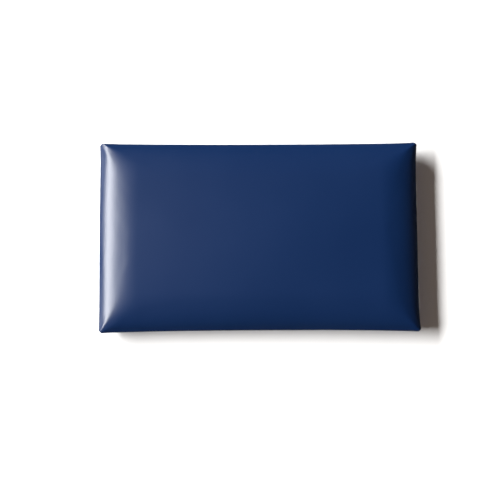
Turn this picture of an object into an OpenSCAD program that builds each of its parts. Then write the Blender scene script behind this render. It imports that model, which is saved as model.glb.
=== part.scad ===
// Wall-hung punch pad: an upholstered striking pad on a plywood board that hooks onto two Z-rails.
// X runs along the pad and Z is up. The wall is the plane Y = 0 and the pad stands in front, at -Y.
// The origin is the middle of the wall screw pattern, behind the middle of the pad.

/* [Pad] */
// Length of the pad over its corner points
pad_w = 500; // [480:10:600]
// Height of the pad over its corner points
pad_h = 300; // [300:10:400]
// How far the long edges pull in between the corner points
pull_long = 2.6; // [0:0.2:4]
// How far the short edges pull in between the corner points
pull_short = 2; // [0:0.2:4]
// Gap between the wall and the backboard
standoff = 16; // [15:0.5:24]

/* [Crown] */
// Height of the rolled edge, from the backboard's front to where the crown begins
roll_h = 22; // [16:1:30]
// Width of the rolled edge, measured in from the rim
roll_w = 60; // [30:2:70]
// Extra height of the crown at the pad's middle
crown_h = 12; // [8:1:20]
// How sharp the diagonal folds at the corners are
fold_sharpness = 5; // [2:1:8]

/* [Layers] */
// Thickness of the vinyl skin
cover_t = 1.2; // [0.8:0.1:2]
// Width of the skin's turn-over flaps on the back
flap_w = 28; // [22:1:30]
// Thickness of the wadding
wadding_t = 2; // [1:0.5:3]
// Thickness of the firm base foam
base_foam_t = 6; // [5:1:8]
// Thickness of the core foam
core_foam_t = 15; // [14:1:16]
// Thickness of the dust cover
dust_t = 0.5; // [0.3:0.1:0.8]
// How far the sides lean in, from the backboard's front to its back
side_taper = 2; // [1:0.5:3]

/* [Backboard] */
// Thickness of the plywood
board_t = 9; // [9:0.5:15]
// Corner radius of the plywood
board_corner_r = 4; // [2:1:8]
// Radius of a vent hole
vent_r = 5; // [3:0.5:7]

/* [Rails] */
// Length of each rail
rail_l = 340; // [300:10:340]
// Thickness of the rail's metal
rail_t = 3; // [2:0.5:3]
// Width of the screwed flange
flange_w = 24; // [20:1:26]
// Gap between the wall and the wall rail's hook
hook_gap = 8; // [7:0.5:9]
// Height of the wall rail's hook above its web
hook_h = 14; // [12:1:16]
// How far the hooks engage
engage = 12; // [9:1:12]
// Distance between the outer screws along a rail
hole_span_x = 300; // [260:10:300]
// Distance between the screw lines of the two wall rails
hole_span_z = 130; // [120:2:132]
// Radius of a rail's screw holes
rail_hole_r = 2.75; // [2.25:0.25:3.25]

/* [Bumpers] */
// Radius of a bumper at the backboard
bumper_r = 15; // [10:1:15]
// Distance from the pad's ends to the middle of a bumper
bumper_end = 48; // [45:1:50]
// Distance from the pad's long edges to the middle of a bumper
bumper_edge = 50; // [45:1:60]

/* [Hidden] */
$fn = 48;

// Gap between the skin, the wadding and what they cover, and between moving pieces
fit_gap = 0.3;
far = 1000;

// Depths in front of the wall
board_back = standoff;
board_front = board_back + board_t;
base_front = board_front + base_foam_t;
core_front = base_front + core_foam_t;
dust_back = board_back - dust_t;

half_w = pad_w / 2;
half_h = pad_h / 2;
board_w = pad_w - 2 * (pull_short + side_taper + cover_t + fit_gap);
board_h = pad_h - 2 * (pull_long + side_taper + cover_t + fit_gap);
wadding_in = cover_t + fit_gap;
foam_in = wadding_in + wadding_t + fit_gap;

// Rail heights, measured from a wall rail's screw line
web_z = flange_w / 2 - rail_t;
hook_top = web_z + rail_t + hook_h;
hook_low = hook_top - engage;
pad_hole_z = hook_top + flange_w / 2 + rail_t;

// Rail depths
wall_hook = hook_gap + rail_t;
strip_t = 1.2;
pad_hook_front = hook_gap - fit_gap - strip_t;
pad_hook_back = pad_hook_front - rail_t;
pad_flange_back = dust_back - rail_t;
bend_r = 1.5;

// Fasteners
screw_r = 2.45;
screw_bore_r = 2.5;
screw_head_r = 4.75;
screw_head_t = 3;
washer_r = 6;
washer_t = 1;
nut_flange_r = 9;
nut_flange_t = 1.5;
nut_barrel_r = 3.9;
nut_hole_r = 4;
nut_depth = board_t - 1;
wood_screw_r = 2;
wood_head_r = 4;
wood_screw_depth = board_t - 1.5;
cup_washer_r = 8;
cup_floor = 5;
bumper_tip_r = bumper_r - 2;
staple_w = 10;
staple_wire = 0.9;
staple_leg = 6;
staple_pitch = 38;
staple_gap = 2.4;
dust_margin = 12;

rail_rows = [-hole_span_z / 2, hole_span_z / 2];
rail_cols = [-hole_span_x / 2, 0, hole_span_x / 2];

// The outline pulls in between its corner points
function edge_x(v) = half_w - pull_short * (1 - pow(abs(v), 6));
function edge_z(u) = half_h - pull_long * (1 - pow(abs(u), 3));

// Share of the rolled edge's height at a distance in from the rim
function roll(d) = d >= roll_w ? 1 : sqrt(max(0, 1 - pow(1 - d / roll_w, 2)));
function soft_min(a, b) = a * b == 0 ? 0 :
    pow(pow(a, -fold_sharpness) + pow(b, -fold_sharpness) - 1, -1 / fold_sharpness);

// Height of the outer skin above the backboard's front, at -1 to 1 along and up the pad
rim_h = 2;
function swell(u, v) = cos(90 * u) * cos(90 * v);
function skin_h(u, v) = rim_h
    + (roll_h - rim_h) * soft_min(roll(half_w * (1 - abs(u))), roll(half_h * (1 - abs(v))))
    + crown_h * swell(u, v);

// A grid that is finer towards the rim
grid_x = 28;
grid_z = 20;
function grid_u(i) = sin(90 * (2 * i / grid_x - 1));
function grid_v(j) = sin(90 * (2 * j / grid_z - 1));
function index(i, j) = i * (grid_z + 1) + j;
function skin_point(i, j, inset) = let (u = grid_u(i), v = grid_v(j))
    [u * (edge_x(v) - inset), inset - board_front - skin_h(u, v), v * (edge_z(u) - inset)];
function skin_points(inset) = [for (i = [0:grid_x]) for (j = [0:grid_z]) skin_point(i, j, inset)];
grid_size = (grid_x + 1) * (grid_z + 1);

// The grid's border as a ring of [i, j]
border = concat([for (i = [0:grid_x - 1]) [i, 0]], [for (j = [0:grid_z - 1]) [grid_x, j]],
                [for (i = [grid_x:-1:1]) [i, grid_z]], [for (j = [grid_z:-1:1]) [0, j]]);
ring_size = len(border);

// Border points moved to a depth: the rim's own, or those of a rectangle
function rim_ring(inset, depth) = [for (b = border) let (p = skin_point(b[0], b[1], inset))
    [p[0], -depth, p[2]]];
function rect_ring(w, h, depth) = [for (b = border) [grid_u(b[0]) * w / 2, -depth, grid_v(b[1]) * h / 2]];

// The rim's border points at a depth, leaning in by the sides' full taper
function side_ring(inset, depth) = [for (b = border) let (p = skin_point(b[0], b[1], inset))
    [p[0] * (1 - side_taper / half_w), -depth, p[2] * (1 - side_taper / half_h)]];

// Indices of a grid's border, and of a ring that starts at a given index
function border_of(first) = [for (b = border) first + index(b[0], b[1])];
function ring_of(first) = [for (k = [0:ring_size - 1]) first + k];

// Faces of a grid, and of the strip between two rings
function flip(faces) = [for (f = faces) [for (k = [len(f) - 1:-1:0]) f[k]]];
function grid_faces(first) = [for (i = [0:grid_x - 1]) for (j = [0:grid_z - 1]) for (half = [0, 1])
    half == 0 ? [first + index(i, j), first + index(i, j + 1), first + index(i + 1, j)]
              : [first + index(i + 1, j), first + index(i, j + 1), first + index(i + 1, j + 1)]];
function strip(a, b) = [for (k = [0:ring_size - 1]) let (n = (k + 1) % ring_size)
    [a[k], a[n], b[n], b[k]]];

// The same in triangles, because a leaning side isn't flat between two rings
function leaning_strip(a, b) = [for (k = [0:ring_size - 1]) for (half = [0, 1])
    let (n = (k + 1) % ring_size) half == 0 ? [a[k], a[n], b[n]] : [a[k], b[n], b[k]]];

// Everything inside the skin's surface, moved in by inset, from the crown back to a depth
module crown_solid(inset, back) {
    rear = ring_of(grid_size);
    polyhedron(concat(skin_points(inset), rim_ring(inset, back)),
               concat(grid_faces(0), strip(border_of(0), rear), [rear]));
}

// A sheet of one thickness over the crown and sides, turned over onto the back. Its sides are
// straight down to the depth called side, and lean in from there to the back
module wrapped_skin(thickness, side, back, flap) {
    w = pad_w - 2 * flap;
    h = pad_h - 2 * flap;
    rings = 2 * grid_size;
    outer_side = ring_of(rings);
    outer_rear = ring_of(rings + ring_size);
    outer_lip = ring_of(rings + 2 * ring_size);
    inner_lip = ring_of(rings + 3 * ring_size);
    inner_rear = ring_of(rings + 4 * ring_size);
    inner_side = ring_of(rings + 5 * ring_size);
    polyhedron(
        concat(skin_points(0), skin_points(thickness), rim_ring(0, side),
               side_ring(0, back - thickness), rect_ring(w, h, back - thickness),
               rect_ring(w, h, back), side_ring(thickness, back), rim_ring(thickness, side)),
        concat(grid_faces(0), strip(border_of(0), outer_side), leaning_strip(outer_side, outer_rear),
               strip(outer_rear, outer_lip), strip(outer_lip, inner_lip), strip(inner_lip, inner_rear),
               leaning_strip(inner_rear, inner_side), strip(inner_side, border_of(grid_size)),
               flip(grid_faces(grid_size))));
}

// A flat block between two depths in front of the wall, centred on the pad
module slab(w, h, back, front) {
    translate([-w / 2, -front, -h / 2]) cube([w, front - back, h]);
}

// A cylinder along Y between two depths
module post(r, back, front, r_front = -1) {
    translate([0, -back, 0]) rotate([90, 0, 0])
        cylinder(h = front - back, r1 = r, r2 = r_front < 0 ? r : r_front);
}

module rounded_plate(w, h, r, back, front) {
    translate([0, -back, 0]) rotate([90, 0, 0]) linear_extrude(front - back) union() {
        square([w - 2 * r, h], center = true);
        square([w, h - 2 * r], center = true);
        for (sx = [-1, 1]) for (sz = [-1, 1])
            translate([sx * (w / 2 - r), sz * (h / 2 - r)]) circle(r);
    }
}

module at_rail_holes(z) {
    for (x = rail_cols) translate([x, 0, z]) children();
}

module at_pad_holes() {
    for (row = rail_rows) at_rail_holes(row + pad_hole_z) children();
}

module at_bumpers() {
    for (sx = [-1, 1]) for (sz = [-1, 1])
        translate([sx * (half_w - bumper_end), 0, sz * (half_h - bumper_edge)]) children();
}

// A bar's section: depth along the first axis, height along the second, with one bent corner
module bar(depth, low, size, height) {
    translate([depth, low]) square([size, height]);
}

module round_corner(depth, low, sd, sh) {
    translate([depth, low]) difference() {
        translate([sd > 0 ? 0 : -bend_r, sh > 0 ? 0 : -bend_r]) square(bend_r);
        translate([sd * bend_r, sh * bend_r]) circle(bend_r);
    }
}

// Wall rail's section, with its screw line at height 0
module wall_section() {
    difference() {
        union() {
            bar(0, -flange_w / 2, rail_t, flange_w);
            bar(0, web_z, wall_hook, rail_t);
            bar(hook_gap, web_z, rail_t, rail_t + hook_h);
        }
        round_corner(0, flange_w / 2, 1, -1);
        round_corner(wall_hook, web_z, -1, 1);
    }
}

// Pad rail's section, the wall rail's turned over so that its hook points down
module pad_section() {
    difference() {
        union() {
            bar(pad_flange_back, hook_top, rail_t, flange_w + rail_t);
            bar(pad_hook_back, hook_top, dust_back - pad_hook_back, rail_t);
            bar(pad_hook_back, hook_low, rail_t, hook_top - hook_low + rail_t);
        }
        round_corner(dust_back, hook_top, -1, 1);
        round_corner(pad_hook_back, hook_top + rail_t, 1, -1);
    }
}

// Stands a section up and runs it along X
module along_x(length) {
    translate([-length / 2, 0, 0]) rotate([90, 0, 90]) linear_extrude(length) mirror([1, 0])
        children();
}

module wall_rail(z) {
    color("silver") translate([0, 0, z]) difference() {
        along_x(rail_l) wall_section();
        at_rail_holes(0) post(rail_hole_r, -1, rail_t + 1);
    }
}

module pad_rail(z) {
    color("silver") translate([0, 0, z]) difference() {
        along_x(rail_l) pad_section();
        at_rail_holes(pad_hole_z) post(rail_hole_r, pad_flange_back - 1, dust_back + 1);
    }
}

module wall_rail_top() { wall_rail(rail_rows[1]); }
module wall_rail_bottom() { wall_rail(rail_rows[0]); }
module pad_rail_top() { pad_rail(rail_rows[1]); }
module pad_rail_bottom() { pad_rail(rail_rows[0]); }

module cover() {
    color("midnightblue") wrapped_skin(cover_t, board_front, board_back, flap_w);
}

module wadding() {
    color("white") difference() {
        crown_solid(wadding_in, board_front);
        crown_solid(wadding_in + wadding_t, board_back);
    }
}

module foam_face() {
    color("khaki") intersection() {
        crown_solid(foam_in, board_back);
        slab(far, far, core_front + fit_gap, far);
    }
}

module foam_core() {
    color("slategray") intersection() {
        crown_solid(foam_in, board_back);
        slab(far, far, base_front, core_front);
    }
}

module foam_base() {
    color("dimgray") intersection() {
        crown_solid(foam_in, board_back);
        slab(far, far, board_front, base_front);
    }
}

module backboard() {
    vent_x = pad_w * 0.3;
    vent_z = pad_h * 0.12;
    color("burlywood") difference() {
        rounded_plate(board_w, board_h, board_corner_r, board_back, board_front);
        at_pad_holes() {
            post(nut_hole_r, board_back - 1, board_front + 1);
            post(nut_flange_r + 0.1, board_front - nut_flange_t, board_front + 1);
        }
        at_bumpers() post(wood_screw_r, board_back - 1, board_back + wood_screw_depth);
        for (x = [-vent_x, -vent_x / 3, vent_x / 3, vent_x])
            translate([x, 0, vent_z]) post(vent_r, board_back - 1, board_front + 1);
    }
}

module t_nuts() {
    color("silver") at_pad_holes() difference() {
        union() {
            post(nut_flange_r, board_front - nut_flange_t, board_front);
            post(nut_barrel_r, board_front - nut_depth, board_front);
        }
        post(screw_bore_r, board_back, board_front + 1);
    }
}

module rail_screws() {
    head_back = pad_flange_back - washer_t - screw_head_t;
    color("silver") at_pad_holes() difference() {
        union() {
            post(screw_head_r - 0.8, head_back, head_back + screw_head_t, screw_head_r);
            post(screw_r, head_back + screw_head_t, board_front - 1);
        }
        translate([0, -head_back, 0]) rotate([90, 0, 0]) cylinder(h = 2, r = 1.5, $fn = 6);
    }
}

module rail_washers() {
    color("silver") at_pad_holes() difference() {
        post(washer_r, pad_flange_back - washer_t, pad_flange_back);
        post(rail_hole_r, 0, board_front);
    }
}

module rattle_strips() {
    color("black") for (row = rail_rows)
        translate([-rail_l / 2, -pad_hook_front - strip_t, row + hook_low + 1])
            cube([rail_l, strip_t, engage - 2]);
}

module bumpers() {
    color("black") at_bumpers() difference() {
        post(bumper_tip_r, 0, dust_back, bumper_r);
        post(cup_washer_r + 0.5, -1, dust_back - cup_floor);
        post(wood_screw_r + 0.3, -1, dust_back + 1);
    }
}

module bumper_washers() {
    top = dust_back - cup_floor;
    color("silver") at_bumpers() difference() {
        post(cup_washer_r, top - washer_t, top);
        post(wood_screw_r + 0.3, 0, dust_back);
    }
}

module bumper_screws() {
    top = dust_back - cup_floor - washer_t;
    color("silver") at_bumpers() difference() {
        union() {
            post(wood_head_r - 0.8, top - 2.4, top, wood_head_r);
            post(wood_screw_r, top, board_back + wood_screw_depth - 1);
        }
        translate([0, -top + 2.4, 0]) rotate([90, 0, 0]) cylinder(h = 1.6, r = 1.2, $fn = 6);
    }
}

module dust_cover() {
    w = pad_w - 2 * flap_w;
    h = pad_h - 2 * flap_w;
    lap = dust_margin;
    step_back = board_back - cover_t - dust_t;
    color("black") difference() {
        union() {
            slab(w - 1, h - 1, dust_back, board_back);
            difference() {
                slab(w + 2 * lap, h + 2 * lap, step_back, step_back + dust_t);
                slab(w - 2, h - 2, 0, board_front);
            }
            difference() {
                slab(w - 1, h - 1, step_back, board_back);
                slab(w - 2, h - 2, 0, board_front);
            }
        }
        at_pad_holes() post(rail_hole_r + 0.5, 0, board_front);
        at_bumpers() post(wood_screw_r + 0.5, 0, board_front);
    }
}

// One staple: its crown lies on the sheet and its legs go into the board
module staple(depth, angle) {
    rotate([0, angle, 0]) union() {
        translate([-staple_w / 2, -depth, -staple_wire / 2]) cube([staple_w, staple_wire, staple_wire]);
        for (s = [-1, 1]) translate([s * (staple_w - staple_wire) / 2 - staple_wire / 2,
                                     -depth - staple_leg, -staple_wire / 2])
            cube([staple_wire, staple_leg + staple_wire / 2, staple_wire]);
    }
}

// Staples round a rectangle, evenly spaced along each side
module staple_ring(w, h, depth, pitch, slant) {
    nx = floor((w - 40) / pitch);
    nz = floor((h - 40) / pitch);
    for (i = [0:nx]) for (s = [-1, 1])
        translate([(i - nx / 2) * pitch, 0, s * h / 2]) staple(depth, slant);
    for (j = [0:nz]) for (s = [-1, 1])
        translate([s * w / 2, 0, (j - nz / 2) * pitch]) staple(depth, 90 - slant);
}

module cover_staples() {
    inset = flap_w - dust_margin - staple_gap;
    color("gainsboro")
        staple_ring(pad_w - 2 * inset, pad_h - 2 * inset, board_back - cover_t, staple_pitch, 8);
}

module dust_staples() {
    color("gainsboro")
        staple_ring(pad_w - 2 * flap_w + dust_margin, pad_h - 2 * flap_w + dust_margin,
                    board_back - cover_t - dust_t, 2 * staple_pitch, 4);
}

cover();
wadding();
foam_face();
foam_core();
foam_base();
backboard();
cover_staples();
dust_cover();
dust_staples();
pad_rail_top();
pad_rail_bottom();
wall_rail_top();
wall_rail_bottom();
t_nuts();
rail_screws();
rail_washers();
rattle_strips();
bumpers();
bumper_washers();
bumper_screws();
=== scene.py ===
import math

import bmesh
import bpy
import numpy as np
from mathutils import Euler, Matrix, Vector


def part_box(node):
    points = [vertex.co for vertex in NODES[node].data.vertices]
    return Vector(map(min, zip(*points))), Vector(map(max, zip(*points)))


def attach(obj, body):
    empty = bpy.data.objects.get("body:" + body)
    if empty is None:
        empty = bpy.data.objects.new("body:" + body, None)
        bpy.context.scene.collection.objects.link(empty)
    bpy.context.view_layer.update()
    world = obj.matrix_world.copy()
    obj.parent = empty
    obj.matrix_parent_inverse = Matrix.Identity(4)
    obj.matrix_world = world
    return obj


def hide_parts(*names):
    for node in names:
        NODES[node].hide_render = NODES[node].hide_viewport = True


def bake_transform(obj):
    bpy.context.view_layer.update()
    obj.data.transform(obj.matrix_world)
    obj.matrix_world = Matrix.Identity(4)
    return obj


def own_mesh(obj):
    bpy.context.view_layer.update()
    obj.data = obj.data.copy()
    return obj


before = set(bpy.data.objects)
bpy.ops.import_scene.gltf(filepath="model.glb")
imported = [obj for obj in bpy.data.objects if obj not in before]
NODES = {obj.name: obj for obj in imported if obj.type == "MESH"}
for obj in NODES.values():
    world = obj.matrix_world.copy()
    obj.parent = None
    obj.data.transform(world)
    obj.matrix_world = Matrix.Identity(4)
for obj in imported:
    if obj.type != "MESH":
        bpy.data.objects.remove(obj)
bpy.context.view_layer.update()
MM = 0.001

# ---------------------------------------------------------------- sizes, from the frame
skin_low, skin_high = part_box("cover")
board_low, board_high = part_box("backboard")
HALF_W = (skin_high.x - skin_low.x) / 2
HALF_H = (skin_high.z - skin_low.z) / 2
BOARD_FRONT = -board_low.y  # depths are distances in front of the wall, which is at y = 0
BOARD_BACK = -board_high.y
CROWN = -skin_low.y
SKIN_BACK = -skin_high.y
SKIN_T = BOARD_BACK - SKIN_BACK

RIM_H = 2 * MM  # the skin stands this far in front of the board at the rim
ROLL_W = 60 * MM  # width of the rolled edge
PULLED_W = 4.5 * MM  # width of the straight part at its rim
DRAWN_UPPER, DRAWN_LOWER = 4.6 * MM, 0.8 * MM  # how much longer it is at the left corners
CROWN_H = 12 * MM  # rise of the middle above the rolled edge
ROLL_H = CROWN - BOARD_FRONT - CROWN_H  # rise of the rolled edge above the board
RIM_ROUND_H, RIM_ROUND_W = 0.5 * MM, 1.1 * MM  # the small round at the rim
FOLD_SHARPNESS = 5  # how crisply the faces meet along the corners' diagonals
PULL_LEFT = 0.9 * MM  # how far the outline pulls in between its corner points
PULL_LEFT_UPPER = 1.1 * MM  # and how much more towards the upper left corner
PULL_RIGHT = 2.9 * MM
PULL_TOP = 3.1 * MM
PULL_BOTTOM = 3.8 * MM
TOP_BOW, BOTTOM_BOW = 0.55, 0.8  # share of these pulls that bows; the rest sets in near the corners
CORNER_CUT = 4.5 * MM  # the distances from a corner's two sides add up to at least this
BOARD_HALF_W = (board_high.x - board_low.x) / 2
BOARD_HALF_H = (board_high.z - board_low.z) / 2
BOARD_CORNER_R = 4 * MM  # the radius of the board's corners
SIDE_GAP = 0.15 * MM  # between the board's edge and the skin over it
FLAP_W = 28 * MM
REAR_R = 1.6 * MM  # the skin's bend round the board's back edge
TUCK_T = 0.85 * MM  # one more layer of vinyl, where a corner is folded over
TUCK_START, TUCK_FULL = 24 * MM, 15 * MM  # where that fold begins and is full, from the corner
STAPLE_PITCH = 38 * MM  # between the skin's staples
LEAST_FOAM = 0.3 * MM  # the thinnest that a foam layer gets at its edge


# ---------------------------------------------------------------- small helpers
def mesh_object(name, points, faces):
    mesh = bpy.data.meshes.new(name)
    mesh.from_pydata([tuple(p) for p in points], [], [tuple(f) for f in faces])
    mesh.validate()
    obj = bpy.data.objects.new(name, mesh)
    bpy.context.scene.collection.objects.link(obj)
    return obj


def smooth(obj, angle=None):
    for polygon in obj.data.polygons:
        polygon.use_smooth = True
    if angle is not None:
        obj.data.set_sharp_from_angle(angle=math.radians(angle))
    return obj


def apply_modifiers(obj):
    graph = bpy.context.evaluated_depsgraph_get()
    mesh = bpy.data.meshes.new_from_object(obj.evaluated_get(graph))
    obj.modifiers.clear()
    obj.data = mesh
    return obj


def thicken(obj, thickness, offset=-1):
    modifier = obj.modifiers.new("thickness", "SOLIDIFY")
    modifier.thickness = thickness
    modifier.offset = offset
    return apply_modifiers(obj)


def smoothstep(low, high, x):
    t = np.clip((np.asarray(x, float) - low) / (high - low), 0, 1)
    return t * t * (3 - 2 * t)


def turned(profile, centre, steps=48):
    """Points and faces of a closed turned form along Y. The profile is a closed loop of
    (radius, depth) or, where the form is a hexagonal socket, (radius, depth, True)."""
    points = []
    for step in range(steps):
        angle = 2 * math.pi * step / steps
        flat = math.cos(math.pi / 6) / math.cos(angle % (math.pi / 3) - math.pi / 6)
        for radius, depth, *hexagonal in profile:
            r = radius * flat if hexagonal else radius
            points.append((centre[0] + r * math.cos(angle), -depth, centre[1] + r * math.sin(angle)))
    n = len(profile)
    faces = [(i * n + j, i * n + (j + 1) % n, (i + 1) % steps * n + (j + 1) % n, (i + 1) % steps * n + j)
             for i in range(steps) for j in range(n)]
    return points, faces


def gathered(name, parts, angle=35):
    """One object from several closed forms, each a pair of points and faces."""
    points, faces = [], []
    for part_points, part_faces in parts:
        faces += [[len(points) + k for k in face] for face in part_faces]
        points += [tuple(p) for p in part_points]
    obj = mesh_object(name, points, faces)
    mesh = bmesh.new()
    mesh.from_mesh(obj.data)
    bmesh.ops.recalc_face_normals(mesh, faces=mesh.faces)
    mesh.to_mesh(obj.data)
    mesh.free()
    return smooth(obj, angle)


def islands(node):
    """The points of each separate solid in a CAD node, as arrays."""
    mesh = bmesh.new()
    mesh.from_mesh(NODES[node].data)
    bmesh.ops.remove_doubles(mesh, verts=mesh.verts, dist=0.01 * MM)
    seen, found = set(), []
    for start in mesh.verts:
        if start in seen:
            continue
        seen.add(start)
        group, waiting = [], [start]
        while waiting:
            vert = waiting.pop()
            group.append(tuple(vert.co))
            for edge in vert.link_edges:
                other = edge.other_vert(vert)
                if other not in seen:
                    seen.add(other)
                    waiting.append(other)
        found.append(np.array(group))
    mesh.free()
    return found


def centres(node):
    """The (x, z) middles of a CAD node's separate solids."""
    return [tuple(((points.min(0) + points.max(0)) / 2)[[0, 2]]) for points in islands(node)]


def depths(node):
    """How far in front of the wall a CAD node starts and ends."""
    low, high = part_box(node)
    return -high.y, -low.y


# ---------------------------------------------------------------- materials
class Shader:
    """A node material with one Principled shader and short ways to add texture to it."""

    def __init__(self, name):
        self.material = bpy.data.materials.new(name)
        self.material.use_nodes = True
        self.tree = self.material.node_tree
        self.nodes, self.links = self.tree.nodes, self.tree.links
        self.shader = self.nodes["Principled BSDF"]
        self.place = self.node("ShaderNodeTexCoord").outputs["Object"]

    def node(self, kind, **settings):
        made = self.nodes.new(kind)
        for key, value in settings.items():
            setattr(made, key, value)
        return made

    def put(self, socket, value):
        if isinstance(value, bpy.types.NodeSocket):
            self.links.new(value, socket)
        else:
            socket.default_value = value

    def set(self, **values):
        for key, value in values.items():
            self.put(self.shader.inputs[key.replace("_", " ")], value)
        return self

    def preset(self, made, **values):
        for key, value in values.items():
            made.inputs[key.replace("_", " ")].default_value = value

    def scaled(self, scale):
        mapping = self.node("ShaderNodeMapping")
        mapping.inputs["Scale"].default_value = scale
        self.links.new(self.place, mapping.inputs["Vector"])
        return mapping.outputs["Vector"]

    def noise(self, scale, detail=4.0, rough=0.55, vector=None, distortion=0.0):
        made = self.node("ShaderNodeTexNoise")
        self.links.new(vector or self.place, made.inputs["Vector"])
        self.preset(made, Scale=scale, Detail=detail, Roughness=rough, Distortion=distortion)
        return made.outputs["Fac"]

    def cells(self, scale, output="Distance", feature="F1"):
        made = self.node("ShaderNodeTexVoronoi", feature=feature)
        self.links.new(self.place, made.inputs["Vector"])
        self.preset(made, Scale=scale)
        return made.outputs[output]

    def ramp(self, fac, stops, interpolation="LINEAR"):
        made = self.node("ShaderNodeValToRGB")
        made.color_ramp.interpolation = interpolation
        elements = made.color_ramp.elements
        while len(elements) < len(stops):
            elements.new(0.5)
        for element, (position, colour) in zip(elements, stops):
            element.position = position
            element.color = colour if len(colour) == 4 else (*colour, 1)
        self.links.new(fac, made.inputs["Fac"])
        return made.outputs["Color"]

    def span(self, fac, low, high, from_low=0.0, from_high=1.0):
        made = self.node("ShaderNodeMapRange")
        self.links.new(fac, made.inputs["Value"])
        self.preset(made, From_Min=from_low, From_Max=from_high, To_Min=low, To_Max=high)
        return made.outputs["Result"]

    def maths(self, operation, a, b=0.0):
        made = self.node("ShaderNodeMath", operation=operation)
        self.put(made.inputs[0], a)
        self.put(made.inputs[1], b)
        return made.outputs["Value"]

    def mix(self, fac, a, b):
        made = self.node("ShaderNodeMix", data_type="RGBA")
        self.put(made.inputs["Factor"], fac)
        self.put(made.inputs[6], a)
        self.put(made.inputs[7], b)
        return made.outputs[2]

    def bump(self, *layers):
        """Stacks (height, depth in metres) layers and joins them to the shader."""
        normal = None
        for height, depth in layers:
            made = self.node("ShaderNodeBump")
            made.inputs["Distance"].default_value = depth
            self.links.new(height, made.inputs["Height"])
            if normal is not None:
                self.links.new(normal, made.inputs["Normal"])
            normal = made.outputs["Normal"]
        self.links.new(normal, self.shader.inputs["Normal"])
        return self


def vinyl_material():
    """Satin upholstery vinyl with a fine grain."""
    s = Shader("blue_vinyl")
    broad = s.noise(6, 2)
    fine = s.noise(900, 3)
    grain = s.cells(1100)
    pores = s.cells(420, feature="SMOOTH_F1")
    colour = s.ramp(broad, [(0.3, (0.0006, 0.0125, 0.056)), (0.7, (0.0007, 0.0136, 0.060))])
    colour = s.mix(s.span(fine, 0.0, 0.12, 0.35, 0.7), colour, (0.0005, 0.010, 0.046, 1))
    s.set(
        Base_Color=colour,
        Roughness=s.maths("ADD", s.span(broad, 0.36, 0.385, 0.3, 0.7), s.span(fine, -0.015, 0.015, 0.3, 0.7)),
        IOR=1.5,
    )
    return s.bump((grain, 0.012 * MM), (pores, 0.02 * MM), (broad, 0.25 * MM)).material


def cloth_material():
    """Black spun non-woven, bonded by a grid of small pressed dots."""
    s = Shader("dust_cloth")
    fibres = s.noise(700, 5, 0.7, s.scaled((1, 1, 3)))
    cross = s.noise(650, 5, 0.7, s.scaled((3.4, 1, 1)))
    web = s.maths("MAXIMUM", fibres, cross)
    dots = s.cells(330)
    bonded = s.span(dots, 1, 0, 0.1, 0.32)
    cloudy = s.noise(35, 3)
    colour = s.ramp(web, [(0.35, (0.006, 0.006, 0.0065)), (0.75, (0.028, 0.028, 0.030))])
    colour = s.mix(s.span(cloudy, 0, 0.35, 0.3, 0.7), colour, (0.035, 0.035, 0.037, 1))
    s.set(
        Base_Color=colour,
        Roughness=s.span(bonded, 0.92, 0.6),
        Sheen_Weight=0.25,
        Sheen_Roughness=0.6,
    )
    return s.bump((web, 0.12 * MM), (bonded, -0.1 * MM)).material


def metal_material(name, tint, roughness, streak):
    """Metal with fine drawn or rolled lines along X, and cloudy handling marks."""
    s = Shader(name)
    lines = s.noise(420, 5, 0.65, s.scaled((0.012, 1, 1) if streak else (1, 1, 1)))
    cloud = s.noise(22, 4)
    specks = s.noise(1500, 2)
    dark, darker = tuple(c * 0.88 for c in tint), (*(c * 0.6 for c in tint), 1)
    colour = s.ramp(cloud, [(0.3, dark), (0.7, tint)])
    s.set(
        Base_Color=s.mix(s.span(lines, 0.0, 0.55, 0.45, 0.7), colour, darker),
        Metallic=1.0,
        Roughness=s.maths("ADD", s.span(lines, roughness - 0.07, roughness + 0.07, 0.3, 0.7),
                          s.span(specks, -0.03, 0.03, 0.3, 0.7)),
    )
    return s.bump((lines, 0.02 * MM), (specks, 0.008 * MM)).material


def rubber_material():
    s = Shader("black_rubber")
    fine, broad = s.noise(1400, 3), s.noise(60, 3)
    colour = s.ramp(broad, [(0.3, (0.012, 0.012, 0.0125)), (0.7, (0.022, 0.022, 0.022))])
    dust = s.span(s.noise(240, 5, 0.7), 0, 0.35, 0.55, 0.75)
    s.set(
        Base_Color=s.mix(dust, colour, (0.05, 0.049, 0.046, 1)),
        Roughness=s.span(broad, 0.58, 0.75, 0.3, 0.7),
    )
    return s.bump((fine, 0.03 * MM)).material


PLY_T = 1.4 * MM


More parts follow.
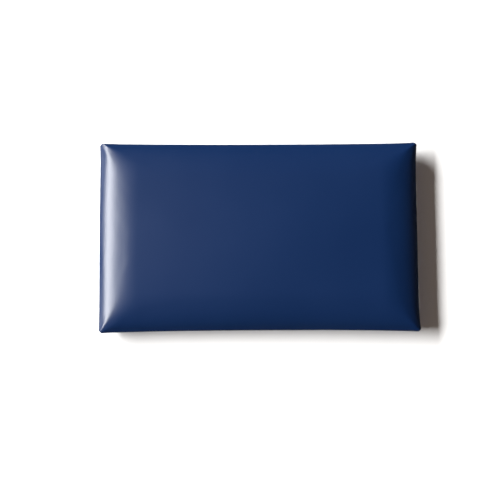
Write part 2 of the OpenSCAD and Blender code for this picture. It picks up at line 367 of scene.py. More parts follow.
def plywood_material():
    """Birch ply: long grain on the faces and thin plies on the edges, with darker glue lines."""
    s = Shader("birch_ply")
    grain = s.noise(50, 6, 0.6, s.scaled((0.12, 1, 1)), 0.6)
    flecks = s.noise(400, 3, 0.6, s.scaled((0.05, 1, 1)))
    split = s.node("ShaderNodeSeparateXYZ")
    s.links.new(s.place, split.inputs[0])
    ply = s.maths("PINGPONG", s.maths("MULTIPLY", split.outputs["Y"], 1 / PLY_T), 1.0)
    face = s.ramp(grain, [(0.3, (0.50, 0.34, 0.19)), (0.52, (0.62, 0.45, 0.27)), (0.72, (0.68, 0.52, 0.34))])
    edge = s.ramp(ply, [(0.0, (0.16, 0.09, 0.045)), (0.12, (0.55, 0.38, 0.21)), (0.9, (0.42, 0.27, 0.14))])
    normal = s.node("ShaderNodeSeparateXYZ")
    s.links.new(s.node("ShaderNodeNewGeometry").outputs["Normal"], normal.inputs[0])
    on_face = s.span(s.maths("ABSOLUTE", normal.outputs["Y"]), 0, 1, 0.4, 0.6)
    s.set(
        Base_Color=s.mix(on_face, edge, face),
        Roughness=s.span(flecks, 0.55, 0.8, 0.3, 0.7),
    )
    return s.bump((grain, 0.08 * MM), (flecks, 0.05 * MM)).material


def foam_material(name, dark, light, pore_scale, pore_depth):
    """Cut foam: open pores, painted darker as the shade inside them, with a cloudy change of colour."""
    s = Shader(name)
    pores = s.cells(pore_scale)
    small = s.noise(pore_scale * 1.7, 4)
    cloud = s.noise(18, 3)
    # painted shade: each pore's hollow is darkened to 0.55 of the foam's dark tone
    colour = s.mix(s.span(pores, 1, 0, 0.05, 0.45), s.ramp(cloud, [(0.3, dark), (0.7, light)]),
                   (*(c * 0.55 for c in dark), 1))
    s.set(Base_Color=colour, Roughness=s.span(small, 0.85, 1.0, 0.3, 0.7), Sheen_Weight=0.1)
    return s.bump((pores, pore_depth), (small, pore_depth * 0.5)).material


def chip_foam_material():
    """Rebonded foam: pressed chips of several greys and blues."""
    s = Shader("chip_foam")
    chips = s.cells(130, "Color")
    hue = s.node("ShaderNodeSeparateColor")
    s.links.new(chips, hue.inputs["Color"])
    tones = s.ramp(hue.outputs["Red"], [
        (0.0, (0.09, 0.12, 0.16)), (0.25, (0.20, 0.24, 0.28)), (0.5, (0.36, 0.36, 0.34)),
        (0.7, (0.13, 0.20, 0.30)), (0.9, (0.55, 0.50, 0.36))], "CONSTANT")
    seams = s.cells(130, feature="DISTANCE_TO_EDGE")
    pores = s.cells(900)
    s.set(Base_Color=s.mix(s.span(seams, 0.6, 0, 0.0, 0.08), tones, (0.03, 0.035, 0.04, 1)),
          Roughness=s.span(pores, 1.0, 0.85))
    return s.bump((seams, 0.3 * MM), (pores, 0.15 * MM)).material


def wadding_material():
    s = Shader("wadding_fibre")
    fibres = s.noise(420, 6, 0.75, distortion=1.2)
    tufts = s.noise(60, 4)
    s.set(Base_Color=s.ramp(fibres, [(0.3, (0.62, 0.62, 0.60)), (0.7, (0.86, 0.86, 0.84))]),
          Roughness=s.span(fibres, 0.85, 1.0, 0.3, 0.7), Sheen_Weight=0.4, Sheen_Roughness=0.5)
    return s.bump((fibres, 0.3 * MM), (tufts, 0.6 * MM)).material


def stage_material(name, colour, glow=0.0):
    """A matt backdrop that shows only its front, so that views from behind look through it."""
    s = Shader(name)
    s.set(Base_Color=s.ramp(s.noise(3, 3), [(0.3, tuple(c * 0.985 for c in colour)), (0.7, colour)]),
          Roughness=0.9, Specular_IOR_Level=0.2, Emission_Color=(*colour, 1), Emission_Strength=glow)
    clear = s.node("ShaderNodeBsdfTransparent")
    sides = s.node("ShaderNodeMixShader")
    s.links.new(s.node("ShaderNodeNewGeometry").outputs["Backfacing"], sides.inputs[0])
    s.links.new(s.shader.outputs[0], sides.inputs[1])
    s.links.new(clear.outputs[0], sides.inputs[2])
    s.links.new(sides.outputs[0], s.nodes["Material Output"].inputs["Surface"])
    return s.material


MATERIALS = {
    "vinyl": vinyl_material(),
    "wadding": wadding_material(),
    "face_foam": foam_material("face_foam", (0.58, 0.50, 0.30), (0.70, 0.62, 0.40), 700, 0.12 * MM),
    "core_foam": chip_foam_material(),
    "base_foam": foam_material("base_foam", (0.022, 0.022, 0.024), (0.035, 0.035, 0.038), 1300, 0.05 * MM),
    "plywood": plywood_material(),
    "dust_cloth": cloth_material(),
    "rail": metal_material("satin_aluminium", (0.62, 0.63, 0.645), 0.38, True),
    "zinc": metal_material("zinc_plate", (0.66, 0.67, 0.66), 0.30, False),
    "rubber": rubber_material(),
}


def finish_piece(obj, body, slot_name, *replaced):
    """Gives a piece its material and body, and hides the CAD nodes it stands for. A piece given no body, such
    as one that bends between two bodies, is left without one."""
    obj.data.materials.clear()
    obj.data.materials.append(MATERIALS[slot_name])
    if body:
        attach(obj, body)
    if replaced:
        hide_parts(*replaced)
    return obj


# ---------------------------------------------------------------- the skin's form
def rolled(distance, drawn=0.0):
    """Share of the rolled edge's height at a distance in from the rim. It starts at a steady
    slope, where the skin is pulled straight over the board's edge, and which is longer by drawn."""
    arc = lambda d: np.sqrt(np.clip(1 - np.clip(1 - d / ROLL_W, 0, 1) ** 2, 0, 1))
    start = arc(PULLED_W)
    slope = (1 - PULLED_W / ROLL_W) / ROLL_W / start
    rounded = RIM_ROUND_H * np.clip(1 - distance / RIM_ROUND_W, 0, 1) ** 2 / (ROLL_H - RIM_H)
    inner = distance - drawn
    return np.where(inner < PULLED_W, start + (inner - PULLED_W) * slope - rounded, arc(inner))


def form_height(u, v):
    """Height of the skin in front of the board, at -1 to 1 along and up the pad."""
    drawn = np.where(u < 0, DRAWN_UPPER * np.clip(v, 0, 1) ** 3 + DRAWN_LOWER * np.clip(-v, 0, 1) ** 3, 0)
    a = np.maximum(rolled(HALF_W * (1 - np.abs(u)), drawn), 1e-4)
    b = np.maximum(rolled(HALF_H * (1 - np.abs(v))), 1e-4)
    edge = (a**-FOLD_SHARPNESS + b**-FOLD_SHARPNESS - 1) ** (-1 / FOLD_SHARPNESS)
    swell = np.cos(np.pi / 2 * u) * np.cos(np.pi / 2 * v)
    return RIM_H + (ROLL_H - RIM_H) * edge + CROWN_H * swell


def form_outline(u, v):
    """X and Z, with edges that pull in between the corner points and small cut corners."""
    bow, step = 1 - u * u, 1 - np.abs(u) ** 12
    bow_share = np.where(v > 0, TOP_BOW, BOTTOM_BOW)
    pull_z = np.where(v > 0, PULL_TOP, PULL_BOTTOM) * (bow_share * bow + (1 - bow_share) * step)
    pull_left = PULL_LEFT + PULL_LEFT_UPPER * np.clip(v, 0, 1) ** 2
    x = u * (HALF_W - np.where(u > 0, PULL_RIGHT, pull_left) * (1 - np.abs(v) ** 9))
    z = v * (HALF_H - pull_z)
    over = np.clip(CORNER_CUT - (HALF_W - np.abs(x)) - (HALF_H - np.abs(z)), 0, None) / 2
    return x - np.sign(x) * over, z - np.sign(z) * over


def edge_fine(half, steps_edge):
    """Places from -1 to 1 across a side, as fine at the rim as the rolled edge bends."""
    step = ROLL_W * math.pi / 2 / steps_edge
    inner = half - ROLL_W
    count = max(2, round(2 * inner / step))
    middle = np.linspace(-inner, inner, count + 1)
    angles = np.linspace(math.pi / 2, 0, steps_edge + 1)[1:]
    high = inner + ROLL_W * np.cos(angles)
    return np.concatenate([-high[::-1], middle, high]) / half


def grid_faces(rows, columns, first=0):
    index = lambda i, j: first + i * columns + j
    return [(index(i, j), index(i, j + 1), index(i + 1, j + 1), index(i + 1, j))
            for i in range(rows - 1) for j in range(columns - 1)]


def border_indices(rows, columns):
    """The grid's border as one ring."""
    index = lambda i, j: i * columns + j
    return ([index(i, 0) for i in range(rows - 1)]
            + [index(rows - 1, j) for j in range(columns - 1)]
            + [index(i, columns - 1) for i in range(rows - 1, 0, -1)]
            + [index(0, j) for j in range(columns - 1, 0, -1)])


def form_points(us, vs, inset=0.0):
    """Points of the skin's front, moved in by inset."""
    u, v = np.meshgrid(us, vs, indexing="ij")
    x, z = form_outline(u, v)
    x, z = x * (HALF_W - inset) / HALF_W, z * (HALF_H - inset) / HALF_H
    y = -(BOARD_FRONT + form_height(u, v)) + inset
    return u, v, np.stack([x, y, z], -1)


def rounded_border(u, v, half_w, half_h, radius):
    """Places on a rectangle's border, moved onto its rounded corners."""
    from_end, from_edge = (1 - np.abs(u)) * half_w, (1 - np.abs(v)) * half_h
    along = np.maximum(from_end, from_edge)
    angle = np.clip(1 - along / radius, 0, 1) * math.pi / 4
    near, far = radius * (1 - np.cos(angle)), radius * (1 - np.sin(angle))
    on_long_side = from_edge <= from_end
    at_corner = along < radius
    from_end = np.where(at_corner, np.where(on_long_side, far, near), from_end)
    from_edge = np.where(at_corner, np.where(on_long_side, near, far), from_edge)
    return np.sign(u) * (half_w - from_end), np.sign(v) * (half_h - from_edge)


def corner_wrinkles(u, v):
    """Faint tension folds that fan out from each corner point, and fade before the crown."""
    from_end = (1 - np.abs(u)) * HALF_W
    from_edge = (1 - np.abs(v)) * HALF_H
    radius = np.hypot(from_end, from_edge)
    angle = np.arctan2(from_edge, from_end)
    fade = smoothstep(2 * MM, 9 * MM, radius) * (1 - smoothstep(14 * MM, 46 * MM, radius))
    lean = np.where(u * v > 0, 0.35, -0.2)
    return 0.32 * MM * fade * np.sin(9 * angle + lean + 1.5 * np.sign(u)) * np.sin(angle * 2)


SKIN_STEPS = 22  # across the rolled edge
SKIN_US, SKIN_VS = edge_fine(HALF_W, SKIN_STEPS), edge_fine(HALF_H, SKIN_STEPS)


def skin_sheet():
    """The vinyl as one sheet: front, sides and the flaps that turn over onto the board's back."""
    u, v, front = form_points(SKIN_US, SKIN_VS)
    front[..., 1] -= corner_wrinkles(u, v)
    rows, columns = len(SKIN_US), len(SKIN_VS)
    ring = border_indices(rows, columns)
    flat = front.reshape(-1, 3)
    rim = flat[ring]
    ring_u, ring_v = u.reshape(-1)[ring], v.reshape(-1)[ring]
    on_side = 0.9999  # of the way out, to allow for rounding
    long_side = np.abs(ring_v) > on_side
    corner_gap = (1 - np.abs(ring_u)) * HALF_W
    # the spare vinyl at each corner is folded onto the long sides, one layer over the other
    tuck = smoothstep(TUCK_START, TUCK_FULL, corner_gap) * smoothstep(0, 0.4 * MM, corner_gap) * long_side
    points = [flat]
    loops = [np.array(ring)]

    def add_ring(x, depth, z):
        points.append(np.stack([x, -depth, z], -1))
        loops.append(len(np.concatenate(points)) - len(rim) + np.arange(len(rim)))

    # from the rim the sides lean in until they lie on the board's edge
    over_board = SKIN_T + SIDE_GAP
    board_x, board_z = rounded_border(ring_u, ring_v, BOARD_HALF_W + over_board, BOARD_HALF_H + over_board,
                                      BOARD_CORNER_R + over_board)
    rim_depth = -rim[:, 1]
    for share in (0.05, 0.12, 0.2, 0.3, 0.5, 0.7, 0.88, 1.0):
        depth = rim_depth + (SKIN_BACK + REAR_R - rim_depth) * share
        lean = 0.85 * smoothstep(-0.1, 0.3, share) + 0.15 * share
        layer = TUCK_T * tuck * smoothstep(0.0, 0.35, share)
        add_ring(rim[:, 0] + (board_x - rim[:, 0]) * lean, depth,
                 rim[:, 2] + (board_z - rim[:, 2]) * lean + np.sign(rim[:, 2]) * layer)
    side_end = points[-1]
    for step in (0.25, 0.5, 0.75, 1.0):
        angle = step * math.pi / 2
        inward = REAR_R * (1 - math.cos(angle))
        depth = SKIN_BACK + REAR_R * (1 - math.sin(angle)) - TUCK_T * tuck * step
        add_ring(side_end[:, 0] * (1 - inward / HALF_W), depth, side_end[:, 2] * (1 - inward / HALF_H))
    outer = points[-1]
    lip = np.stack([ring_u * (HALF_W - FLAP_W), ring_v * (HALF_H - FLAP_W)], -1)
    along = np.where(long_side, ring_u * HALF_W, ring_v * HALF_H)
    ragged = 0.5 * MM * np.sin(along * 71 + 1.3 * long_side) + 0.35 * MM * np.sin(along * 183 + 2)
    lip[:, 0] += np.sign(lip[:, 0]) * ragged * ~long_side
    lip[:, 1] += np.sign(lip[:, 1]) * ragged * long_side
    for step in (0.08, 0.2, 0.32, 0.42, 0.52, 0.64, 0.8, 0.92, 1.0):
        x = outer[:, 0] + (lip[:, 0] - outer[:, 0]) * step
        z = outer[:, 2] + (lip[:, 1] - outer[:, 2]) * step
        fade = math.exp(-(((step - 0.36) / 0.2) ** 2))
        pressed = 0.22 * MM * np.cos(along / STAPLE_PITCH * 2 * math.pi) * fade
        folded = TUCK_T * tuck * (1 - smoothstep(0.35, 0.5, step))
        add_ring(x, np.full(len(x), SKIN_BACK) - folded - pressed * (1 - tuck), z)
    faces = grid_faces(rows, columns)
    for a, b in zip(loops, loops[1:]):
        following = np.roll(np.arange(len(a)), -1)
        faces += [(a[k], b[k], b[n], a[n]) for k, n in enumerate(following)]
    return mesh_object("skin", np.concatenate(points), faces)


def face_outwards(obj, inside):
    """Turns the sheet's normals away from a point inside it."""
    mesh = bmesh.new()
    mesh.from_mesh(obj.data)
    bmesh.ops.recalc_face_normals(mesh, faces=mesh.faces)
    mesh.faces.ensure_lookup_table()
    front = min(mesh.faces, key=lambda f: f.calc_center_median().y)
    if front.normal.dot(front.calc_center_median() - inside) < 0:
        bmesh.ops.reverse_faces(mesh, faces=mesh.faces)
    mesh.to_mesh(obj.data)
    mesh.free()
    return obj


def sink_with_face(layer):
    """Bakes the layer's placement into its points; it doesn't make it sink. Under a punch a layer stays still
    up to the base foam and sinks fully near the crown, and a layer that lies inset under the skin sinks as
    much as the skin over it, so neither breaks through."""
    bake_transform(layer)


SWELL_PRESSURE = 6.0
SWELL_FRAMES = 20
SWELL_CAP = 0.4 * MM  # nothing moves further than this


def swell(sheet, front_rows, front_columns):
    """The vinyl's front as stiff cloth, pressed out by the foam and held at its rim and on the
    board. The further a point moves, the less of it is kept, up to a cap."""
    scene = bpy.context.scene
    start = np.empty(len(sheet.data.vertices) * 3)
    sheet.data.vertices.foreach_get("co", start)
    start = start.reshape(-1, 3)
    front = front_rows * front_columns
    held = sheet.vertex_groups.new(name="held")
    held.add(list(range(front, len(start))) + border_indices(front_rows, front_columns), 1.0, "REPLACE")
    cloth = sheet.modifiers.new("cloth", "CLOTH")
    cloth.settings.vertex_group_mass = "held"
    cloth.settings.use_pressure = True
    cloth.settings.uniform_pressure_force = SWELL_PRESSURE
    cloth.settings.tension_stiffness = cloth.settings.compression_stiffness = 40
    cloth.settings.shear_stiffness = 20
    cloth.settings.bending_stiffness = 60
    cloth.settings.air_damping = 8
    cloth.settings.quality = 6
    cloth.settings.effector_weights.gravity = 0
    cloth.point_cache.frame_start, cloth.point_cache.frame_end = 1, SWELL_FRAMES
    for step in range(1, SWELL_FRAMES + 1):
        scene.frame_set(step)
    posed = sheet.evaluated_get(bpy.context.evaluated_depsgraph_get()).to_mesh()
    end = np.empty(len(start) * 3)
    posed.vertices.foreach_get("co", end)
    moved = end.reshape(-1, 3) - start
    sheet.modifiers.remove(cloth)
    sheet.vertex_groups.remove(held)
    scene.frame_set(1)
    far = np.linalg.norm(moved, axis=1, keepdims=True)
    capped = start + moved * SWELL_CAP / (far + SWELL_CAP)
    sheet.data.vertices.foreach_set("co", capped.reshape(-1))
    sheet.data.update()


MIDDLE = Vector((0, -BOARD_FRONT, 0))
skin = face_outwards(skin_sheet(), MIDDLE)
swell(skin, len(SKIN_US), len(SKIN_VS))
thicken(skin, SKIN_T - 0.1 * MM)
smooth(skin, 50)
finish_piece(skin, None, "vinyl", "cover")
sink_with_face(skin)


# ---------------------------------------------------------------- wadding and foams
def crowned_slab(name, inset, back, front, us, vs):
    """A layer of the padding: the skin's form moved in, cut flat at two depths."""
    _, _, points = form_points(us, vs, inset)
    depth = -points[..., 1]
    inside = depth > back + LEAST_FOAM
    top = np.minimum(depth, front)
    rows, columns = len(us), len(vs)
    faces, corners, used = [], [], {}

    def vertex(i, j, rear):
        key = (i, j, rear)
        if key not in used:
            used[key] = len(corners)
            d = back if rear else max(top[i, j], back + LEAST_FOAM)
            corners.append((points[i, j, 0], -d, points[i, j, 2]))
        return used[key]

    # cells of the grid where the form doesn't rise past the layer's back are left out
    kept = np.zeros((rows - 1, columns - 1), bool)
    for i in range(rows - 1):
        for j in range(columns - 1):
            kept[i, j] = inside[i : i + 2, j : j + 2].all()
    for i, j in zip(*np.nonzero(kept)):
        cell = [(i, j), (i, j + 1), (i + 1, j + 1), (i + 1, j)]
        faces.append([vertex(*c, False) for c in cell])
        faces.append([vertex(*c, True) for c in reversed(cell)])
        for (di, dj), (a, b) in zip(((0, -1), (0, 1), (-1, 0), (1, 0)), ((3, 0), (1, 2), (0, 1), (2, 3))):
            ni, nj = i + di, j + dj
            if not (0 <= ni < rows - 1 and 0 <= nj < columns - 1 and kept[ni, nj]):
                faces.append([vertex(*cell[b], False), vertex(*cell[a], False),
                              vertex(*cell[a], True), vertex(*cell[b], True)])
    obj = mesh_object(name, corners, faces)
    return smooth(face_outwards(obj, MIDDLE), 40)


base_low, base_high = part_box("foam_base")
core_low, core_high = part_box("foam_core")
face_low, face_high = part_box("foam_face")
FOAM_INSET = CROWN + face_low.y
LAYER_STEPS = 14  # across the rolled edge
layer_us, layer_vs = edge_fine(HALF_W, LAYER_STEPS), edge_fine(HALF_H, LAYER_STEPS)

foam_base = crowned_slab("base_pad", FOAM_INSET, -base_high.y, -base_low.y, layer_us, layer_vs)
finish_piece(foam_base, "pad", "base_foam", "foam_base")
foam_core = crowned_slab("core_pad", FOAM_INSET, -core_high.y, -core_low.y, layer_us, layer_vs)
finish_piece(foam_core, "pad", "core_foam", "foam_core")
foam_face = crowned_slab("face_pad", FOAM_INSET, -face_high.y, CROWN, layer_us, layer_vs)
finish_piece(foam_face, "face", "face_foam", "foam_face")

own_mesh(foam_core)


WADDING_INSET = (FOAM_INSET + SKIN_T) / 2
WADDING_T = 1.4 * MM
WADDING_LIFT = 0.9 * MM  # the middle of its thickness stays this far in front of the board
TRIMMED = 2  # rows of the grid that it stops short of the rim
FLUFF_H = 0.25 * MM


def wadding_sheet():
    """The fibre layer under the skin, trimmed a little short of the rim."""
    us, vs = layer_us[TRIMMED:-TRIMMED], layer_vs[TRIMMED:-TRIMMED]
    _, _, points = form_points(us, vs, WADDING_INSET)
    fluff = FLUFF_H * np.sin(points[..., 0] * 230) * np.sin(points[..., 2] * 190 + 1)
    points[..., 1] = np.minimum(points[..., 1] + fluff, -BOARD_FRONT - WADDING_LIFT)
    obj = mesh_object("wadding_layer", points.reshape(-1, 3), grid_faces(len(us), len(vs)))
    return smooth(thicken(face_outwards(obj, MIDDLE), WADDING_T, 0), 60)


wadding = wadding_sheet()
finish_piece(wadding, None, "wadding", "wadding")
sink_with_face(wadding)


# ---------------------------------------------------------------- camera, light, stage
def aim(obj, target):
    obj.rotation_euler = (Vector(target) - obj.location).to_track_quat("-Z", "Y").to_euler()


camera_data = bpy.data.cameras.new("camera")
camera = bpy.data.objects.new("camera", camera_data)
bpy.context.scene.collection.objects.link(camera)
camera_data.sensor_width = 36
camera_data.lens = 115.2
RIM_Y = -(BOARD_FRONT + float(form_height(1.0, 0.0)))
YAW, PITCH, ROLL = math.radians(1.36), math.radians(8.62), math.radians(-0.47)
ahead = Vector((math.sin(YAW) * math.cos(PITCH), math.cos(YAW) * math.cos(PITCH), math.sin(PITCH)))
level = Vector((math.cos(YAW), -math.sin(YAW), 0))
above = level.cross(ahead)
right = level * math.cos(ROLL) + above * math.sin(ROLL)
up = above * math.cos(ROLL) - level * math.sin(ROLL)
camera.rotation_euler = Matrix((right, up, -ahead)).transposed().to_euler()
CAMERA_X, CAMERA_Z = -0.0736, -0.3946
CAMERA_DISTANCE = 2.4651  # in front of the rim
camera.location = (CAMERA_X, RIM_Y - CAMERA_DISTANCE, CAMERA_Z)
camera_data.clip_start, camera_data.clip_end = 0.05, 60
bpy.context.scene.camera = camera


def area_light(name, place, size, power, target=(0, -0.03, 0), colour=(1, 1, 1)):
    data = bpy.data.lights.new(name, "AREA")
    data.shape = "RECTANGLE"
    data.size, data.size_y = size
    data.energy = power
    data.color = colour
    light = bpy.data.objects.new(name, data)
    bpy.context.scene.collection.objects.link(light)
    light.location = place
    light.visible_camera = False
    aim(light, target)
    return light


# a tall softbox to the left, from 13 degrees below level to 44 above
KEY_DISTANCE, KEY_Z = 8.0, 2.9
KEY_ANGLE = math.radians(54)
key_place = (-KEY_DISTANCE * math.sin(KEY_ANGLE), -KEY_DISTANCE * math.cos(KEY_ANGLE), KEY_Z)
key = area_light("key_softbox", key_place, (2.6, 9.6), 2750)
key.rotation_euler = Euler((math.radians(90), 0, -KEY_ANGLE))
# soft lights behind the wall's plane, for the back, the right side and the underside
back_fill = area_light("back_fill", (0.8, 2.6, 0.5), (2.0, 1.6), 10, target=(0, 0, 0))
back_fill.data.spread = math.radians(60)
area_light("right_fill", (1.6, 2.1, 0.3), (1.0, 1.6), 7, target=(0.25, 0, 0))
area_light("low_fill", (0.2, 2.1, -1.6), (1.6, 1.0), 6, target=(0, 0, -0.15))

world = bpy.data.worlds.new("studio")
bpy.context.scene.world = world
world.use_nodes = True
tree = world.node_tree
paths = tree.nodes.new("ShaderNodeLightPath")


def world_light(strength, colour):
    made = tree.nodes.new("ShaderNodeBackground")
    made.inputs["Color"].default_value = (*colour, 1)
    made.inputs["Strength"].default_value = strength
    return made.outputs[0]


def world_switch(ray, otherwise, value):
    made = tree.nodes.new("ShaderNodeMixShader")
    tree.links.new(paths.outputs[ray], made.inputs[0])
    tree.links.new(otherwise, made.inputs[1])
    tree.links.new(value, made.inputs[2])
    return made.outputs[0]


# a white room to the camera, a dim warm one to the surfaces
surround = world_switch("Is Glossy Ray", world_light(0.13, (1.0, 0.80, 0.68)), world_light(0.02, (1, 1, 1)))
surround = world_switch("Is Camera Ray", surround, world_light(1.0, (1, 1, 1)))
tree.links.new(surround, tree.nodes["World Output"].inputs["Surface"])
bpy.context.scene.view_settings.view_transform = "Standard"


def backdrop(name, corners, colour, glow=0.0):
    obj = mesh_object(name, corners, [(0, 1, 2, 3)])
    obj.data.materials.append(stage_material(name, colour, glow))
    obj.visible_shadow = False
    return obj


WALL_REACH, FAR = 4.0, 60.0
FLOOR_Z, WALL_TOP = -3.0, 3.0


def upright(reach, low, high, y):
    return [(-reach, y, low), (reach, y, low), (reach, y, high), (-reach, y, high)]


wall = backdrop("wall", upright(WALL_REACH, FLOOR_Z, WALL_TOP, 0), (0.86, 0.86, 0.855))
wall.visible_glossy = False
# beyond the lit wall, and far below the view, all is evenly pale and doesn't tint the pad
far_wall = backdrop("far_wall", upright(FAR, FLOOR_Z, FAR, 2 * MM), (0.9, 0.9, 0.9), glow=1.2)
floor_corners = [(x, y, FLOOR_Z) for x, y in ((-FAR, -FAR), (FAR, -FAR), (FAR, FAR), (-FAR, FAR))]
floor = backdrop("floor", floor_corners, (0.84, 0.84, 0.83), glow=1.0)
for pale in (far_wall, floor):
    pale.visible_glossy = pale.visible_diffuse = False


# ---------------------------------------------------------------- carried-over CAD nodes
def dress(node, slot_name):
    """A CAD node that is shown as it is, with a material of its own."""
    obj = NODES[node]
    obj.data.materials.clear()
    obj.data.materials.append(MATERIALS[slot_name])


LARGE_FACE = 20 * MM * MM


def softened(node, name, body, slot_name, width):
    """A copy of a CAD node with its sharp edges rounded stands for it."""
    mesh = bmesh.new()
    mesh.from_mesh(NODES[node].data)
    bmesh.ops.remove_doubles(mesh, verts=mesh.verts, dist=0.01 * MM)
    bmesh.ops.dissolve_limit(mesh, angle_limit=math.radians(1), verts=mesh.verts, edges=mesh.edges)
    sharp = [e for e in mesh.edges if len(e.link_faces) == 2 and e.calc_face_angle() > math.radians(35)]
    bmesh.ops.bevel(mesh, geom=sharp, offset=width, segments=2, affect="EDGES", profile=0.5,
                    clamp_overlap=True)
    data = bpy.data.meshes.new(name)
    mesh.to_mesh(data)
    mesh.free()
    obj = bpy.data.objects.new(name, data)
    bpy.context.scene.collection.objects.link(obj)
    smooth(obj, 40)
    for polygon in data.polygons:
        polygon.use_smooth = polygon.area < LARGE_FACE  # larger ones stay flat to their edges
    return finish_piece(obj, body, slot_name, node)


for row in ("top", "bottom"):
    softened(f"pad_rail_{row}", f"pad_rail_{row}_bar", "pad", "rail", 0.35 * MM)
    softened(f"wall_rail_{row}", f"wall_rail_{row}_bar", "wall_mount", "rail", 0.35 * MM)
dress("backboard", "plywood")
dress("t_nuts", "zinc")


def washers(node, name, outer, inner):
    """Stamped washers: the punched edge is rounded on the side that shows."""
    low, high = depths(node)
    soft = 0.25 * MM
    ring = [(inner, high), (inner, low + soft), (inner + soft, low), (outer - 2 * soft, low),
            (outer - 0.6 * soft, low + 0.5 * soft), (outer, low + 1.6 * soft), (outer, high)]
    return finish_piece(gathered(name, [turned(ring, c) for c in centres(node)]), "pad", "zinc", node)


def socket_screws(node, name, head_r, head_t, shank_r, socket_r):
    """Domed heads with a hexagonal socket, on shanks with a coarse rolled thread."""
    low, high = depths(node)
    dome = [(head_r * math.cos(a), low + head_t * (1 - math.sin(a)) ** 1.15)
            for a in np.linspace(0.12, 1.15, 7)]
    tip_r = 0.15 * socket_r  # the profile's two ends nearly reach the axis
    profile = [(tip_r, low + 1.7 * MM), (socket_r, low + 1.45 * MM, True), (socket_r, low + 0.2 * MM, True)]
    profile += [(socket_r + 0.25 * MM, low)] + dome[::-1] + [(head_r, low + head_t), (shank_r, low + head_t)]
    pitch = 0.8 * MM
    turns = int((high - low - head_t - 1 * MM) / pitch)
    for turn in range(turns):
        start = low + head_t + turn * pitch
        profile += [(shank_r, start + 0.3 * pitch), (shank_r - 0.35 * MM, start + 0.75 * pitch)]
    profile += [(shank_r - 0.4 * MM, high - 0.3 * MM), (tip_r, high)]
    screws = gathered(name, [turned(profile, c, 36) for c in centres(node)])
    return finish_piece(screws, "pad", "zinc", node)


washers("rail_washers", "washer_set", outer=6 * MM, inner=2.75 * MM)
washers("bumper_washers", "cup_washer_set", outer=8 * MM, inner=2.3 * MM)
socket_screws("rail_screws", "machine_screw_set",
              head_r=4.75 * MM, head_t=3 * MM, shank_r=2.4 * MM, socket_r=1.5 * MM)
socket_screws("bumper_screws", "wood_screw_set",
              head_r=4 * MM, head_t=2.4 * MM, shank_r=1.95 * MM, socket_r=1.2 * MM)


def bumper_set():
    """Moulded rubber feet: a flared base, two shallow grooves, and a deep cup for the screw."""
    tip, base = depths("bumpers")
    low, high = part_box("bumpers")
    rows = centres("bumpers")
    base_r = high.x - max(x for x, z in rows)
    tip_r, cup_r, hole_r, cup_depth = base_r - 2 * MM, 8.5 * MM, 2.6 * MM, 10.5 * MM
    wall = lambda depth: tip_r + (base_r - tip_r) * (depth - tip) / (base - tip)
    profile = [(hole_r, base), (base_r - 0.7 * MM, base), (base_r - 0.1 * MM, base - 0.5 * MM),
               (base_r, base - 1.2 * MM)]
    groove_top, groove_floor, groove_depth = 0.7 * MM, 0.25 * MM, 0.55 * MM
    for groove in (5.2 * MM, 8.4 * MM):
        profile += [(wall(base - groove + groove_top), base - groove + groove_top),
                    (wall(base - groove) - groove_depth, base - groove + groove_floor),
                    (wall(base - groove) - groove_depth, base - groove - groove_floor),
                    (wall(base - groove - groove_top), base - groove - groove_top)]
    outer_round, cup_round = 1.3 * MM, 0.8 * MM
    for angle in np.linspace(0, math.pi / 2, 5):
        inward, under = outer_round * (1 - math.cos(angle)), outer_round * (1 - math.sin(angle))
        profile.append((tip_r - inward, tip + under))
    for angle in np.linspace(math.pi / 2, 0, 4):
        outward, under = cup_round * (1 - math.cos(angle)), cup_round * (1 - math.sin(angle))
        profile.append((cup_r + outward, tip + under))
    profile += [(cup_r, cup_depth - 0.8 * MM), (cup_r - 0.5 * MM, cup_depth), (hole_r, cup_depth)]
    return finish_piece(gathered("bumper_set", [turned(profile, c, 64) for c in rows], 50),
                        "pad", "rubber", "bumpers")


bumper_set()
softened("rattle_strips", "strip_pair", "pad", "rubber", 0.3 * MM)


def bent_wire(points, crown_depth, wire):
    """A staple: flattened wire whose two bends are round, with legs cut to a chisel point."""
    flat = points[:, [0, 2]]
    middle = (flat.min(0) + flat.max(0)) / 2
    along = np.linalg.svd(flat - flat.mean(0))[2][0]
    across = np.array([-along[1], along[0]])
    span = flat @ along
    half = (span.max() - span.min()) / 2 - wire / 2
    leg_end = -points[:, 1].min()
    bend = 0.9 * wire
    track = [(-half, leg_end)]
    for angle in np.linspace(0, math.pi / 2, 5):
        inward, under = bend * (1 - math.cos(angle)), bend * (1 - math.sin(angle))
        track.append((-half + inward, crown_depth + wire / 2 + under))
    track += [(-p, d) for p, d in track[::-1]]
    angles = np.linspace(0, 2 * math.pi, 8, endpoint=False) + math.pi / 8
    section = [(math.cos(a), math.sin(a)) for a in angles]
    corners, faces = [], []
    for k, (p, d) in enumerate(track):
        before, after = track[max(k - 1, 0)], track[min(k + 1, len(track) - 1)]
        heading = np.array([after[0] - before[0], after[1] - before[1]])
        heading /= np.linalg.norm(heading)
        size = 0.35 if k in (0, len(track) - 1) else 1.0
        for a, b in section:
            out, side = a * wire * 0.46 * size, b * wire * 0.54
            place = middle + along * (p - heading[1] * out) + across * side
            corners.append((place[0], -(d + heading[0] * out), place[1]))
    n = len(section)
    for k in range(len(track) - 1):
        faces += [(k * n + j, k * n + (j + 1) % n, (k + 1) * n + (j + 1) % n, (k + 1) * n + j)
                  for j in range(n)]
    faces += [tuple(range(n)), tuple(range((len(track) - 1) * n, len(track) * n))]
    return corners, faces


WIRE = 0.9 * MM


def staple_set(node, name):
    crown_depth, _ = depths(node)
    staples = gathered(name, [bent_wire(points, crown_depth, WIRE) for points in islands(node)], 60)
    return finish_piece(staples, "pad", "zinc", node)


staple_set("cover_staples", "skin_staple_row")
staple_set("dust_staples", "dust_staple_row")


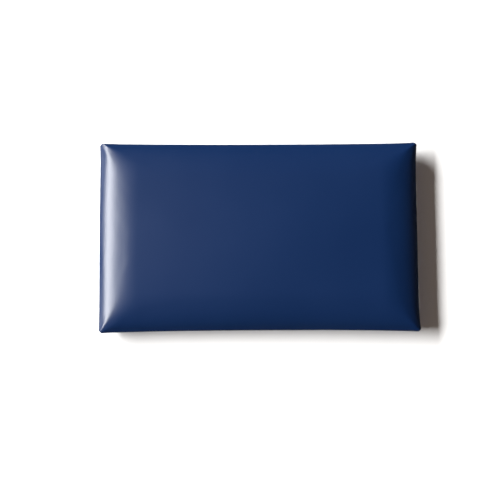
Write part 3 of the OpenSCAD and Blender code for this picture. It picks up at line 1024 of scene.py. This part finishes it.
def dust_sheet():
    """The spun cloth over the back: it lies on the skin's flaps at its edge, steps down to the board
    inside them, puckers a little along its edge and has faint creases where it is drawn tight."""
    low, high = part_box("dust_cover")
    half_w, half_h = high.x, high.z
    lap_back, board_side = -high.y, -low.y
    thickness = 0.5 * MM
    margin = 12 * MM  # its lap onto the flaps
    step_w = 5 * MM  # the grid is fine from this far inside the lap
    inner_w, inner_h = half_w - margin, half_h - margin

    def places(half, inner):
        fine = np.linspace(0, 1, 9)
        lap = inner - step_w + (half - inner + step_w) * fine
        count = 2 * round((inner - step_w) / (3.5 * MM))
        middle = np.linspace(-(inner - step_w), inner - step_w, count + 1)
        return np.concatenate([-lap[:0:-1], middle, lap[1:]])

    xs, zs = places(half_w, inner_w), places(half_h, inner_h)
    x, z = np.meshgrid(xs, zs, indexing="ij")
    beyond = np.maximum(np.abs(x) - inner_w, np.abs(z) - inner_h)
    raised = smoothstep(-4.5 * MM, 0, beyond)
    on_board, on_flaps = board_side - thickness / 2, lap_back + thickness / 2
    depth = on_board + (on_flaps - on_board) * raised
    along = np.where(np.abs(x) - inner_w > np.abs(z) - inner_h, z, x)
    at_edge = smoothstep(0.5, 1, (beyond / margin).clip(0, 1))
    depth -= 0.28 * MM * at_edge * np.sin(along / STAPLE_PITCH * math.pi) ** 2
    drawn = smoothstep(30 * MM, 5 * MM, -beyond) * smoothstep(0, 4 * MM, -beyond)
    depth -= 0.1 * MM * drawn * (1 + np.sin(along / (STAPLE_PITCH / 2) * math.pi))
    points = np.stack([x, -depth, z], -1).reshape(-1, 3)
    sheet = mesh_object("dust_sheet", points, grid_faces(len(xs), len(zs)))
    thicken(sheet, thickness, 0)
    hole_r, axis_r = 3.2 * MM, 0.01 * MM
    above, below = lap_back - 2 * MM, board_side + 2 * MM
    plug = [(axis_r, above), (hole_r, above), (hole_r, below), (axis_r, below)]
    cutter = gathered("cutter", [turned(plug, c, 24)
                                 for c in centres("rail_screws") + centres("bumper_screws")])
    modifier = sheet.modifiers.new("holes", "BOOLEAN")
    modifier.operation, modifier.solver, modifier.object = "DIFFERENCE", "EXACT", cutter
    bpy.context.view_layer.update()
    apply_modifiers(sheet)
    bpy.data.objects.remove(cutter)
    smooth(sheet, 40)
    finish_piece(sheet, "pad", "dust_cloth", "dust_cover")


dust_sheet()
